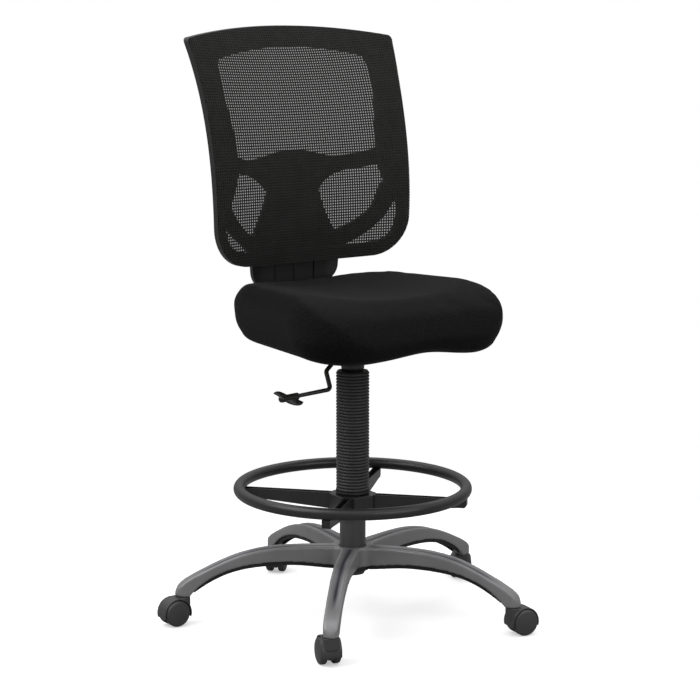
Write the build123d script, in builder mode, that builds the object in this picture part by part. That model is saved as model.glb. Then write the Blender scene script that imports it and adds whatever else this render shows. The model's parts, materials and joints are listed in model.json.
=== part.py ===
# Drafting chair: five-arm caster base, gas lift with bellows, foot ring, upholstered seat
# and a mesh back on a ratchet upright. Millimetres, +Z up, floor at Z = 0.
# The column axis is the Z axis. The chair faces -Y, so the sitter's right hand is -X.
import os
from math import cos, radians, sin, sqrt

from build123d import *

os.makedirs("parts", exist_ok=True)

# ---------------------------------------------------------------- driving dimensions
# clearances
seat_gap = 0.1          # pressed or wedged pieces of one body
run_gap = 0.3           # pieces that move past each other
soft_gap = 0.3          # upholstery against what carries it

# five-arm base: a pressed shell over a welded inner frame
arm_count = 5
arm_circle = 330.0      # column axis to caster stem
arm_heading = -43.7     # first arm, degrees clockwise from straight ahead seen from below
arm_root_width = 35.0
arm_tip_width = 29.0
arm_wall = 4.5
arm_blend = 16.0        # plan radius between neighbouring arms
hub_radius = 32.0
hub_top = 129.0
hub_bottom = 91.0
arm_crest = 141.0       # highest point of an arm
frame_hang = 7.0        # inner frame showing below the shell
frame_wall = 3.0
frame_rise = 18.0       # height of the inner frame's walls

# casters
caster_height = 55.0    # floor to arm tip
wheel_radius = 25.0
wheel_width = 13.5
wheel_trail = 19.0      # swivel axis to axle
caster_body_width = 12.0
hood_radius = 28.5
axle_radius = 4.0
stem_radius = 5.5
stem_length = 14.0
caster_headings = [160.0, 78.0, 149.0, 133.0, -92.0]     # where the wheels trail, in arm order

# gas lift
tube_radius = 25.0
tube_wall = 2.0
tube_bottom = 82.0
tube_top = 462.0
hub_taper = 0.6         # loss of tube radius down the hub
piston_tube_radius = 14.0
piston_tube_wall = 2.0
piston_tube_top = 508.0
rod_radius = 5.0
lift_travel = 250.0
bush_length = 70.0

# bellows
bellows_outer = 32.0
bellows_inner = 28.5
bellows_wall = 1.6
bellows_pleats = 38
bellows_clip_height = 6.0

# foot ring
ring_height = 250.5     # centre of the ring tube
ring_outer = 228.5
ring_tube_radius = 11.0
ring_hub_flat = 43.0    # axis to the face that carries a spoke
ring_hub_corner = 29.7
ring_hub_height = 32.0
ring_heading = -49.7
spoke_count = 4
spoke_width = 16.0
spoke_wall = 2.5
spoke_end_height = 17.0
spoke_reach = 222.0
collet_wall = 5.2

# seat mechanism
plate_top = 533.0
plate_thickness = 3.0
plate_width = 190.0
plate_depth = 180.0
channel_width = 84.0
channel_depth = 29.0
socket_drop = 23.0      # socket below the channel
channel_wall = 2.5
socket_radius = 22.0
bolt_spacing_x = 150.0
bolt_spacing_y = 140.0
bolt_radius = 4.0

# seat
pan_thickness = 12.0
seat_half_width = 248.0
seat_front = 242.0      # column axis to the front edge
seat_rear = 184.0
seat_rear_half = 184.0
seat_front_corner = 117.0
seat_rear_corner = 112.0
seat_crown = 646.0      # top of the side bolsters
seat_top_round = 44.0
seat_under_round = 55.0
seat_dish = 16.0        # how far the middle lies below the bolsters
pan_front = 150.0
pan_front_half = 165.0
pan_rear = 128.0
pan_rear_half = 142.0
pan_corner = 64.0
arm_hole_x = 134.0
arm_hole_spacing = 100.0

# lever
lever_rod_radius = 2.9
lever_gap = 0.2         # rod above the release button
lever_heading = -63.0   # plan direction of the rod out of the mechanism
paddle_radius = 6.5
paddle_length = 45.0
paddle_grip = 16.0      # rod inside the paddle
paddle_tip = 32.0       # tilt of the fins
button_radius = 4.0
button_height = 4.0

# back upright and sleeve
upright_width = 60.0
upright_thickness = 8.0
upright_y = 214.0       # middle of the upright
upright_top = 790.0
upright_bend = 34.0
sleeve_width = 90.0
sleeve_bottom = 622.0
sleeve_height = 164.0

# back frame
back_top = 1123.0
back_shoulder = 1102.0
back_half_top = 240.0
back_half_waist = 227.0
back_bottom = 672.0
back_corner = 80.0
top_band = 40.0         # hoop above the upper window
side_band = 57.0        # hoop beside the windows at the waist
low_side_band = 22.0    # hoop beside the lumbar point
bottom_band = 25.0
lumbar_z = 766.0        # most forward point of the back
lumbar_y = 115.0
profile_radius = 740.0  # side view curve of the back
wrap_depth = 22.0       # how far the middle lies behind the sides
frame_thickness = 14.0
mesh_thickness = 1.2
support_thickness = 9.0
support_middle_y = 195.0
support_ends_y = 142.0
support_inset = 13.0    # ends of the support inside the waist of the hoop
support_rise = 119.0    # top of the crossbar above the lumbar point
support_drop = 146.0    # foot of the trunk below the lumbar point


def save(part, name):
    """Label a finished piece and write its STEP file."""
    part.label = name
    export_step(part, f"parts/{name}.step")


def heading_point(radius, heading):
    """Point at a radius in a heading, where heading 0 is straight ahead (-Y)."""
    return (radius * sin(radians(heading)), -radius * cos(radians(heading)))


# ---------------------------------------------------------------- five-arm base
arm_headings = [arm_heading + i * 360 / arm_count for i in range(arm_count)]
tip_radius = arm_tip_width / 2
tube_seat_bottom = tube_radius - hub_taper


def star_sketch(inset, tip_reach, root_radius):
    """Plan of the arms with blended roots, drawn in by an inset."""
    with BuildSketch() as star:
        Circle(root_radius)
        for heading in arm_headings:
            with BuildSketch(mode=Mode.PRIVATE) as arm:
                with BuildLine():
                    Polyline(
                        (0, -arm_root_width / 2 + inset),
                        (tip_reach, -tip_radius + inset),
                        (tip_reach, tip_radius - inset),
                        (0, arm_root_width / 2 - inset),
                        close=True,
                    )
                make_face()
                if inset == 0:
                    with Locations((tip_reach, 0)):
                        Circle(tip_radius)
            add(arm.sketch.rotate(Axis.Z, heading - 90))
    return star.sketch


# side view of an arm: radius from the column, height
arm_top_line = [
    (0, arm_crest - 4),
    (105, arm_crest),
    (170, arm_crest - 2),
    (232, arm_crest - 15),
    (290, arm_crest - 39),
    (320, arm_crest - 54),
    (arm_circle + 7, arm_crest - 67),
    (arm_circle + tip_radius + 1, caster_height),
]
arm_under_line = [
    (0, arm_crest - 46),
    (45, arm_crest - 45),
    (105, arm_crest - 36.5),
    (158, arm_crest - 34.5),
    (212, arm_crest - 38.5),
    (250, arm_crest - 48),
    (286, arm_crest - 65),
    (arm_circle - 12, caster_height),
]
hollow_stop = arm_circle - tip_radius - 6
hollow_root = hub_radius + 8


def arm_band(top_line, under_line):
    """Ring turned about the column from an upper and a lower side view line."""
    with BuildPart() as band:
        with BuildSketch(Plane.XZ):
            with BuildLine():
                over = Spline(*top_line)
                under = Spline(*under_line)
                Line(over @ 1, under @ 1)
                Line(over @ 0, under @ 0)
            make_face()
        revolve(axis=Axis.Z)
    return band.part


with BuildPart() as arm_hollow:
    with BuildSketch(Plane.XZ):
        with BuildLine():
            crest = Spline((0, arm_crest - 9), (90, arm_crest - 6), (170, arm_crest - 7),
                           (232, arm_crest - 20), (286, arm_crest - 44), (hollow_stop, arm_crest - 62))
            Polyline(crest @ 1, (hollow_stop, 30), (0, 30), crest @ 0)
        make_face()
    revolve(axis=Axis.Z)
    with BuildSketch(Plane.XY.offset(20)):
        add(star_sketch(arm_wall, arm_circle, hollow_root))
    extrude(amount=arm_crest, mode=Mode.INTERSECT)

with BuildPart() as base_star:
    with BuildSketch(Plane.XY.offset(caster_height)):
        add(star_sketch(0, arm_circle, tube_radius))
        fillet(vertices().group_by(lambda v: sqrt(v.X**2 + v.Y**2))[0], radius=arm_blend)
    extrude(amount=arm_crest)
    shell_under = [(r, z + frame_hang) for r, z in arm_under_line[:-1]] + arm_under_line[-1:]
    add(arm_band(arm_top_line, shell_under), mode=Mode.INTERSECT)
    add(arm_hollow.part, mode=Mode.SUBTRACT)
    with Locations((0, 0, arm_crest)):
        Cylinder(tube_radius + run_gap, 40, mode=Mode.SUBTRACT)
    # caster stem sockets
    with Locations(*[(*heading_point(arm_circle, h), caster_height) for h in arm_headings]):
        Cylinder(stem_radius + seat_gap, stem_length + 1,
                 align=(Align.CENTER, Align.CENTER, Align.MIN), mode=Mode.SUBTRACT)
save(base_star.part, "base_star")

with BuildPart() as base_frame:
    # walls inside the arms
    with BuildSketch(Plane.XY.offset(caster_height)):
        add(star_sketch(arm_wall + seat_gap, arm_circle, hollow_root - seat_gap))
        add(star_sketch(arm_wall + frame_wall, arm_circle, hollow_root - frame_wall), mode=Mode.SUBTRACT)
    extrude(amount=arm_crest)
    add(arm_band([(r, z + frame_rise) for r, z in arm_under_line], arm_under_line), mode=Mode.INTERSECT)
    with BuildSketch(Plane.XY.offset(caster_height)):
        Circle(hollow_stop - seat_gap)
    extrude(amount=arm_crest, mode=Mode.INTERSECT)
    # hub sleeve with a flange to the walls
    with BuildSketch(Plane.XY.offset(hub_bottom)):
        Circle(hub_radius)
    extrude(amount=hub_top - hub_bottom)
    with BuildSketch(Plane.XY.offset(hub_bottom + frame_rise)):
        Circle(hollow_root - seat_gap)
    extrude(amount=frame_wall)
    # wedge seat for the gas lift
    with BuildSketch(Plane.XZ):
        with BuildLine():
            Polyline(
                (0, hub_bottom - 40),
                (tube_seat_bottom + seat_gap, hub_bottom - 40),
                (tube_seat_bottom + seat_gap, hub_bottom),
                (tube_radius + seat_gap, hub_top),
                (tube_radius + seat_gap, hub_top + 40),
                (0, hub_top + 40),
                close=True,
            )
        make_face()
    revolve(axis=Axis.Z, mode=Mode.SUBTRACT)
save(base_frame.part, "base_frame")

# ---------------------------------------------------------------- gas lift
ring_hub_top = ring_height - ring_tube_radius
ring_hub_bottom = ring_hub_top - ring_hub_height
clip_bottom = ring_hub_top + run_gap + 1
bellows_bottom = clip_bottom + bellows_clip_height
socket_bottom = plate_top - plate_thickness - channel_depth - socket_drop
bellows_top = socket_bottom - run_gap - 1

with BuildPart() as gas_tube:
    with BuildSketch(Plane.XZ):
        with BuildLine():
            Polyline(
                (rod_radius + seat_gap, tube_bottom),
                (tube_seat_bottom - 2, tube_bottom),
                (tube_seat_bottom, tube_bottom + 4),
                (tube_seat_bottom, hub_bottom),
                (tube_radius, hub_top),
                (tube_radius, tube_top),
                (tube_radius - tube_wall, tube_top),
                (tube_radius - tube_wall, tube_bottom + 3),
                (rod_radius + seat_gap, tube_bottom + 3),
                close=True,
            )
        make_face()
    revolve(axis=Axis.Z)
save(gas_tube.part, "gas_tube")

with BuildPart() as guide_bush:
    with Locations((0, 0, tube_top - bush_length)):
        Cylinder(tube_radius - tube_wall - seat_gap, bush_length,
                 align=(Align.CENTER, Align.CENTER, Align.MIN))
    with Locations((0, 0, tube_top)):
        Cylinder(tube_radius, 4, align=(Align.CENTER, Align.CENTER, Align.MIN))
    chamfer(edges().group_by(Axis.Z)[-1], length=1.2)
    with Locations((0, 0, tube_top)):
        Cylinder(piston_tube_radius + run_gap, 4 * bush_length, mode=Mode.SUBTRACT)
save(guide_bush.part, "guide_bush")

# the thrust bearing stands on the tube's floor and carries the piston tube's foot
bearing_bottom = tube_bottom + 3
bearing_height = 7.0
rod_top = tube_bottom + lift_travel + 60
with BuildPart() as thrust_bearing:
    with BuildSketch(Plane.XY.offset(bearing_bottom)):
        Circle(12)
        Circle(rod_radius + seat_gap, mode=Mode.SUBTRACT)
    extrude(amount=bearing_height)
    with BuildSketch(Plane.XY.offset(bearing_bottom + 2)):
        Circle(12)
        Circle(10.5, mode=Mode.SUBTRACT)
    extrude(amount=bearing_height - 4, mode=Mode.SUBTRACT)
save(thrust_bearing.part, "thrust_bearing")

with BuildPart() as piston_rod:
    with Locations((0, 0, tube_bottom - 5)):
        Cylinder(rod_radius, rod_top - tube_bottom + 5, align=(Align.CENTER, Align.CENTER, Align.MIN))
    with Locations((0, 0, rod_top - 14)):
        Cylinder(piston_tube_radius - piston_tube_wall - run_gap, 14,
                 align=(Align.CENTER, Align.CENTER, Align.MIN))
    with BuildSketch(Plane.XY.offset(tube_bottom - 3.5)):
        Circle(rod_radius + 1)
        Circle(rod_radius - 1.2, mode=Mode.SUBTRACT)
    extrude(amount=1.6, mode=Mode.SUBTRACT)
save(piston_rod.part, "piston_rod")

with BuildPart() as retaining_clip:
    with BuildSketch(Plane.XY.offset(tube_bottom - 3.4)):
        Circle(rod_radius + 4)
        Circle(rod_radius - 1.1, mode=Mode.SUBTRACT)
        with Locations((0, -rod_radius - 2)):
            Rectangle(5, rod_radius * 2, mode=Mode.SUBTRACT)
    extrude(amount=1.4)
save(retaining_clip.part, "retaining_clip")

with BuildPart() as piston_tube:
    foot = bearing_bottom + bearing_height + run_gap
    with BuildSketch(Plane.XZ):
        with BuildLine():
            Polyline(
                (rod_radius + run_gap, foot),
                (piston_tube_radius - 1, foot),
                (piston_tube_radius, foot + 2),
                (piston_tube_radius, socket_bottom),
                (piston_tube_radius - 1.1, piston_tube_top),
                (button_radius + run_gap / 3, piston_tube_top),
                (button_radius + run_gap / 3, piston_tube_top - 14),
                (piston_tube_radius - piston_tube_wall, piston_tube_top - 18),
                (piston_tube_radius - piston_tube_wall, foot + 10),
                (rod_radius + run_gap, foot + 10),
                close=True,
            )
        make_face()
    revolve(axis=Axis.Z)
save(piston_tube.part, "piston_tube")

with BuildPart() as release_button:
    with Locations((0, 0, piston_tube_top + button_height)):
        Cylinder(button_radius, 16, align=(Align.CENTER, Align.CENTER, Align.MAX))
    fillet(edges().group_by(Axis.Z)[-1], radius=0.8)
save(release_button.part, "release_button")

# ---------------------------------------------------------------- bellows
with BuildPart() as bellows_clip:
    with BuildSketch(Plane.XY.offset(clip_bottom)):
        Circle(bellows_outer + 0.5)
        Circle(tube_radius + seat_gap, mode=Mode.SUBTRACT)
    extrude(amount=bellows_clip_height)
    chamfer(edges().group_by(Axis.Z)[0].sort_by(SortBy.RADIUS)[-1], length=1.5)
save(bellows_clip.part, "bellows_clip")

pleat_pitch = (bellows_top - bellows_bottom) / bellows_pleats
with BuildPart() as bellows:
    with BuildSketch(Plane.XZ):
        with BuildLine():
            folds = []
            for i in range(bellows_pleats):
                folds.append((bellows_inner, bellows_bottom + i * pleat_pitch))
                folds.append((bellows_outer, bellows_bottom + (i + 0.5) * pleat_pitch))
            folds.append((bellows_inner, bellows_top))
            bore = bellows_inner - bellows_wall
            Polyline(*folds, (bore, bellows_top), (bore, bellows_bottom), close=True)
        make_face()
    revolve(axis=Axis.Z)
save(bellows.part, "bellows")

# ---------------------------------------------------------------- foot ring
ring_radius = ring_outer - ring_tube_radius
spoke_headings = [ring_heading + i * 360 / spoke_count for i in range(spoke_count)]
collet_outer = tube_radius + run_gap + collet_wall

with BuildPart() as footring_tube:
    with Locations((0, 0, ring_height)):
        Torus(ring_radius, ring_tube_radius)
save(footring_tube.part, "footring_tube")

with BuildPart() as footring_collet:
    with BuildSketch(Plane.XY.offset(ring_hub_bottom - 5)):
        Circle(collet_outer + 3)
        Circle(tube_radius + run_gap, mode=Mode.SUBTRACT)
    extrude(amount=5 - run_gap)
    with BuildSketch(Plane.XY.offset(ring_hub_bottom - run_gap)):
        Circle(collet_outer)
        Circle(tube_radius + run_gap, mode=Mode.SUBTRACT)
    extrude(amount=ring_hub_height + run_gap)
    with BuildSketch(Plane.XY.offset(ring_hub_bottom + 4)):
        with Locations((0, -collet_outer)):
            Rectangle(2, 2 * collet_outer)
    extrude(amount=ring_hub_height + 4, mode=Mode.SUBTRACT)
save(footring_collet.part, "footring_collet")

with BuildPart() as footring_hub:
    with BuildSketch(Plane.XY.offset(ring_hub_bottom)):
        Rectangle(2 * ring_hub_flat, 2 * ring_hub_flat, rotation=ring_heading)
        chamfer(vertices(), length=ring_hub_corner)
        Circle(collet_outer + run_gap, mode=Mode.SUBTRACT)
    extrude(amount=ring_hub_height)
    chamfer(edges().group_by(Axis.Z)[-1].filter_by(GeomType.LINE), length=1)
save(footring_hub.part, "footring_hub")

# a spoke is a tapering pressed channel, open at the top, with its end turned down
with BuildPart() as spoke_blank:
    with BuildSketch(Plane.XZ):
        with BuildLine():
            Polyline(
                (ring_hub_flat, ring_hub_top),
                (spoke_reach, ring_hub_top),
                (spoke_reach, ring_hub_top - spoke_end_height),
                (ring_radius - ring_tube_radius, ring_hub_top - spoke_end_height),
                (ring_hub_flat, ring_hub_bottom + 1),
                close=True,
            )
        make_face()
        fillet(vertices().sort_by(Axis.X)[-2:].sort_by(Axis.Y)[0], radius=6)
    extrude(amount=spoke_width / 2, both=True)
    with BuildSketch(Plane.XZ):
        with BuildLine():
            Polyline(
                (ring_hub_flat + spoke_wall, ring_hub_top),
                (spoke_reach - spoke_wall, ring_hub_top),
                (spoke_reach - spoke_wall, ring_hub_top - spoke_end_height + 6),
                (ring_radius - ring_tube_radius, ring_hub_top - spoke_end_height + spoke_wall),
                (ring_hub_flat + spoke_wall, ring_hub_bottom + 1 + spoke_wall),
                close=True,
            )
        make_face()
    extrude(amount=spoke_width / 2 - spoke_wall, both=True, mode=Mode.SUBTRACT)

for number, heading in enumerate(spoke_headings, start=1):
    save(spoke_blank.part.rotate(Axis.Z, heading - 90), f"footring_spoke_{number}")

# ---------------------------------------------------------------- casters
# one caster is built with its swivel axis on Z and its wheels trailing towards +X
axle_half = caster_body_width / 2 + wheel_width + 1
hood_inner = wheel_radius + 1.2
wheel_inner_face = caster_body_width / 2 + run_gap
wheel_outer_face = wheel_inner_face + wheel_width

fender_half = wheel_outer_face - 1
web_bottom = 12.0
fender_bottom = wheel_radius - 8
block_front = -stem_radius - 6
with BuildPart() as caster_hood:
    # block that holds the stem, as wide as the arm's tip
    with BuildSketch(Plane.XZ):
        with BuildLine():
            Polyline(
                (block_front, caster_height - 1),
                (wheel_trail, caster_height - 1),
                (wheel_trail, wheel_radius),
                (block_front + 6, wheel_radius),
                (block_front, wheel_radius + 8),
                close=True,
            )
        make_face()
        fillet(vertices().sort_by(Axis.X)[:3].sort_by(Axis.Y)[:2], radius=4)
    extrude(amount=tip_radius + 0.5, both=True)
    fillet(edges().filter_by(Axis.Z).group_by(Axis.X)[0], radius=8)
    # fender over both wheels
    with BuildSketch(Plane.XZ):
        with Locations((wheel_trail, wheel_radius)):
            Circle(hood_radius)
        with Locations((wheel_trail, fender_bottom)):
            Rectangle(4 * wheel_radius, 2 * wheel_radius, align=(Align.CENTER, Align.MAX),
                      mode=Mode.SUBTRACT)
    extrude(amount=fender_half, both=True)
    with BuildSketch(Plane.XZ):
        with Locations((wheel_trail, wheel_radius)):
            Circle(hood_inner)
    extrude(amount=2 * fender_half, both=True, mode=Mode.SUBTRACT)
    # web between the wheels
    with BuildSketch(Plane.XZ):
        with Locations((wheel_trail, wheel_radius)):
            Circle(hood_inner + 0.5)
        with Locations((wheel_trail, web_bottom)):
            Rectangle(4 * wheel_radius, 2 * wheel_radius, align=(Align.CENTER, Align.MAX),
                      mode=Mode.SUBTRACT)
    extrude(amount=caster_body_width / 2, both=True)
    with Locations((0, 0, caster_height)):
        Cylinder(stem_radius + seat_gap, 20, mode=Mode.SUBTRACT)
    with Locations(Plane.XZ.location * Pos(wheel_trail, wheel_radius)):
        Cylinder(axle_radius + seat_gap, 4 * wheel_width, mode=Mode.SUBTRACT)

with BuildPart() as caster_stem:
    with Locations((0, 0, caster_height - 9)):
        Cylinder(stem_radius, stem_length + 9 - seat_gap, align=(Align.CENTER, Align.CENTER, Align.MIN))
    with Locations((0, 0, caster_height - 1 + seat_gap)):
        Cylinder(stem_radius + 3, 1 - seat_gap - run_gap, align=(Align.CENTER, Align.CENTER, Align.MIN))
    chamfer(edges().group_by(Axis.Z)[-1], length=1)

with BuildPart() as caster_axle:
    with Locations(Plane.XZ.location * Pos(wheel_trail, wheel_radius)):
        Cylinder(axle_radius, 2 * axle_half - 8)

with BuildPart() as caster_wheel:
    with BuildSketch(Plane.XY):
        with BuildLine():
            rim = wheel_radius
            out = wheel_outer_face
            Polyline(
                (axle_radius + run_gap, wheel_inner_face),
                (rim - 2, wheel_inner_face),
                (rim, wheel_inner_face + 2),
                (rim, out - 4),
                (rim - 1.2, out - 1.6),
                (rim - 4, out),
            )
            TangentArc((0, out + 1.5), (rim - 4, out), tangent=(1, 0))
            Polyline((0, out + 1.5), (0, out - 3), (axle_radius + run_gap, out - 3),
                     (axle_radius + run_gap, wheel_inner_face))
        make_face()
    revolve(axis=Axis.Y)

for number, (arm, trail) in enumerate(zip(arm_headings, caster_headings), start=1):
    spot = Pos(*heading_point(arm_circle, arm), 0) * Rot(0, 0, trail - 90)
    wheel = Pos(wheel_trail, 0, wheel_radius) * caster_wheel.part
    save(spot * caster_hood.part, f"caster_hood_{number}")
    save(spot * caster_stem.part, f"caster_stem_{number}")
    save(spot * caster_axle.part, f"caster_axle_{number}")
    save(spot * wheel, f"caster_wheel_a_{number}")
    save(spot * wheel.mirror(Plane.XZ), f"caster_wheel_b_{number}")

# ---------------------------------------------------------------- seat mechanism
plate_bottom = plate_top - plate_thickness
channel_bottom = plate_bottom - channel_depth
channel_front = -50.0
channel_back = 88.0
upright_bolt_y = [58.0, 76.0]
lever_level = piston_tube_top + button_height + lever_gap + lever_rod_radius
lever_way = Vector(*heading_point(1, lever_heading), 0)
bush_centre = lever_way * ((channel_width / 2 - channel_wall / 2) / -lever_way.X)
lever_bush_radius = 6.5
lever_bush_plane = Plane(origin=(bush_centre.X, bush_centre.Y, lever_level), z_dir=lever_way,
                         x_dir=(0, 0, 1))
# the rod tilts on a cross pin that lies in the bush
lever_pin_radius = 1.4
lever_pin_length = 9.0
lever_pin_plane = Plane(origin=(bush_centre.X, bush_centre.Y, lever_level),
                        z_dir=lever_way.cross(Vector(0, 0, 1)), x_dir=(0, 0, 1))

with BuildPart() as bellows_collar:
    with BuildSketch(Plane.XZ):
        with BuildLine():
            plug_radius = bellows_inner - bellows_wall - 2 * soft_gap
            Polyline(
                (piston_tube_radius + seat_gap, bellows_top - 8),
                (plug_radius, bellows_top - 8),
                (plug_radius, bellows_top + run_gap),
                (bellows_inner + 1, bellows_top + run_gap),
                (bellows_inner + 1, socket_bottom),
                (piston_tube_radius + seat_gap, socket_bottom),
                close=True,
            )
        make_face()
    revolve(axis=Axis.Z)
save(bellows_collar.part, "bellows_collar")

with BuildPart() as seat_plate:
    with BuildSketch(Plane.XY.offset(plate_bottom)):
        RectangleRounded(plate_width, plate_depth, 14)
        with GridLocations(bolt_spacing_x, bolt_spacing_y, 2, 2):
            Circle(bolt_radius + seat_gap, mode=Mode.SUBTRACT)
    extrude(amount=plate_thickness)
    # channel welded below the plate, closed in front, open behind for the upright
    with BuildSketch(Plane.XY.offset(channel_bottom)):
        with Locations((0, (channel_front + channel_back) / 2)):
            Rectangle(channel_width, channel_back - channel_front)
    extrude(amount=channel_depth)
    with BuildSketch(Plane.XY.offset(channel_bottom + channel_wall)):
        with Locations((0, channel_front + channel_wall)):
            Rectangle(channel_width - 2 * channel_wall, channel_back - channel_front,
                      align=(Align.CENTER, Align.MIN))
    extrude(amount=channel_depth - channel_wall, mode=Mode.SUBTRACT)
    # tapered socket on the piston tube
    with BuildSketch(Plane.XZ):
        with BuildLine():
            Polyline(
                (0, socket_bottom),
                (socket_radius - 2, socket_bottom),
                (socket_radius, socket_bottom + 6),
                (socket_radius + 1, channel_bottom),
                (socket_radius + 1, piston_tube_top - 2),
                (0, piston_tube_top - 2),
                close=True,
            )
        make_face()
    revolve(axis=Axis.Z)
    with BuildSketch(Plane.XZ):
        with BuildLine():
            Polyline(
                (0, socket_bottom),
                (piston_tube_radius + seat_gap, socket_bottom),
                (piston_tube_radius - 1.1 + seat_gap, piston_tube_top),
                (0, piston_tube_top),
                close=True,
            )
        make_face()
    revolve(axis=Axis.Z, mode=Mode.SUBTRACT)
    # hole for the lever bush and for the upright's bolts
    with Locations(lever_bush_plane):
        Cylinder(lever_bush_radius + seat_gap, 14, mode=Mode.SUBTRACT)
    with Locations(*[(0, y, plate_top) for y in upright_bolt_y]):
        Cylinder(bolt_radius + seat_gap, 20, mode=Mode.SUBTRACT)
save(seat_plate.part, "seat_plate")

with BuildPart() as lever_bush:
    with Locations(lever_bush_plane):
        Cylinder(lever_bush_radius, 12)
    with Locations(lever_bush_plane):
        Cylinder(lever_rod_radius + 0.6, 30, mode=Mode.SUBTRACT)
    with Locations(lever_pin_plane):
        Cylinder(lever_pin_radius + seat_gap, lever_pin_length + 2 * seat_gap, mode=Mode.SUBTRACT)
save(lever_bush.part, "lever_bush")

# ---------------------------------------------------------------- height lever
rod_start = lever_way * -5
rod_kink = lever_way * 61
lever_points = [
    (rod_start.X, rod_start.Y, lever_level),
    (rod_kink.X, rod_kink.Y, lever_level),
    (-98, -52, lever_level - 20),
    (-98, -66, lever_level - 52),
    (-192, -80, lever_level - 53),
]
with BuildPart() as lever_rod:
    with BuildLine() as lever_path:
        FilletPolyline(*lever_points, radius=8)
    with BuildSketch(Plane(origin=lever_points[0], z_dir=lever_way)):
        Circle(lever_rod_radius)
    sweep()
    with Locations(lever_pin_plane):
        Cylinder(lever_pin_radius, lever_pin_length)
save(lever_rod.part, "lever_rod")

paddle_way = (Vector(*lever_points[-1]) - Vector(*lever_points[-2])).normalized()
paddle_start = Vector(*lever_points[-1]) - paddle_way * paddle_grip
paddle_end = Plane(origin=paddle_start, x_dir=paddle_way.cross(Vector(0, 0, 1)), z_dir=paddle_way)
fin_normal = (paddle_end.y_dir * -1).rotate(Axis((0, 0, 0), paddle_way), -paddle_tip)
with BuildPart() as lever_paddle:
    with BuildSketch(paddle_end):
        Circle(paddle_radius)
    extrude(amount=paddle_length)
    fillet(edges().sort_by(Axis(paddle_start, paddle_way))[-1], radius=paddle_radius - 0.5)
    # two leaf fins swept opposite ways, the rear one tipped up
    with BuildSketch(Plane(origin=paddle_start, x_dir=paddle_way, z_dir=fin_normal)):
        with BuildLine():
            Line((20, 0), (20, -5))
            Spline((20, -5), (24, -12), (31, -19))
            Spline((31, -19), (38, -20), (45, -18))
            Spline((45, -18), (41, -12), (39, -5))
            Polyline((39, -5), (39, 0), (20, 0))
        make_face()
        with BuildLine():
            Line((8, 0), (8, 5))
            Spline((8, 5), (5, 12), (0, 18))
            Spline((0, 18), (18, 22), (31, 14), (36, 5))
            Polyline((36, 5), (36, 0), (8, 0))
        make_face()
    extrude(amount=1.3, both=True)
    with BuildSketch(paddle_end):
        Circle(lever_rod_radius + seat_gap)
    extrude(amount=paddle_grip + seat_gap, mode=Mode.SUBTRACT)
save(lever_paddle.part, "lever_paddle")

# ---------------------------------------------------------------- seat
pan_bottom = plate_top
pan_top = pan_bottom + pan_thickness
nut_flange_radius = 11.0
nut_barrel_radius = 5.5
nut_flange_thickness = 1.6
seat_nut_spots = [(x, y) for x in (-bolt_spacing_x / 2, bolt_spacing_x / 2)
                  for y in (-bolt_spacing_y / 2, bolt_spacing_y / 2)]
arm_nut_spots = [(x, y) for x in (-arm_hole_x, arm_hole_x)
                 for y in (-arm_hole_spacing / 2, arm_hole_spacing / 2)]


def seat_outline():
    """Plan of the seat, wider in front than behind."""
    with BuildSketch() as plan:
        with BuildLine():
            Polyline(
                (-seat_half_width, -seat_front),
                (seat_half_width, -seat_front),
                (seat_rear_half, seat_rear),
                (-seat_rear_half, seat_rear),
                close=True,
            )
        make_face()
        fillet(vertices().group_by(Axis.Y)[0], radius=seat_front_corner)
        fillet(vertices().group_by(Axis.Y)[-1], radius=seat_rear_corner)
    return plan.sketch


def pan_outline(clearance):
    """Plan of the board inside the seat, grown by a clearance."""
    with BuildSketch() as plan:
        with BuildLine():
            Polyline(
                (-pan_front_half - clearance, -pan_front - clearance),
                (pan_front_half + clearance, -pan_front - clearance),
                (pan_rear_half + clearance, pan_rear + clearance),
                (-pan_rear_half - clearance, pan_rear + clearance),
                close=True,
            )
        make_face()
        fillet(vertices(), radius=pan_corner)
    return plan.sketch


with BuildPart() as seat_pan:
    with BuildSketch(Plane.XY.offset(pan_bottom)):
        add(pan_outline(0))
    extrude(amount=pan_thickness)
    with Locations(*[(x, y, pan_top) for x, y in seat_nut_spots + arm_nut_spots]):
        Cylinder(nut_barrel_radius + seat_gap, 3 * pan_thickness, mode=Mode.SUBTRACT)
        Cylinder(nut_flange_radius + 1, 2 * nut_flange_thickness, mode=Mode.SUBTRACT)
    # clearance over the upright's bolts
    with Locations(*[(0, y, pan_bottom) for y in upright_bolt_y]):
        Cylinder(8, 12, mode=Mode.SUBTRACT)
save(seat_pan.part, "seat_pan")

with BuildPart() as tee_nuts:
    for x, y in seat_nut_spots + arm_nut_spots:
        with Locations((x, y, pan_bottom)):
            Cylinder(nut_barrel_radius, pan_thickness - nut_flange_thickness,
                     align=(Align.CENTER, Align.CENTER, Align.MIN))
        with Locations((x, y, pan_top - nut_flange_thickness)):
            Cylinder(nut_flange_radius, nut_flange_thickness,
                     align=(Align.CENTER, Align.CENTER, Align.MIN))
        with Locations((x, y, pan_bottom)):
            Cylinder(bolt_radius, 4 * pan_thickness, mode=Mode.SUBTRACT)
save(tee_nuts.part, "tee_nuts")

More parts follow.
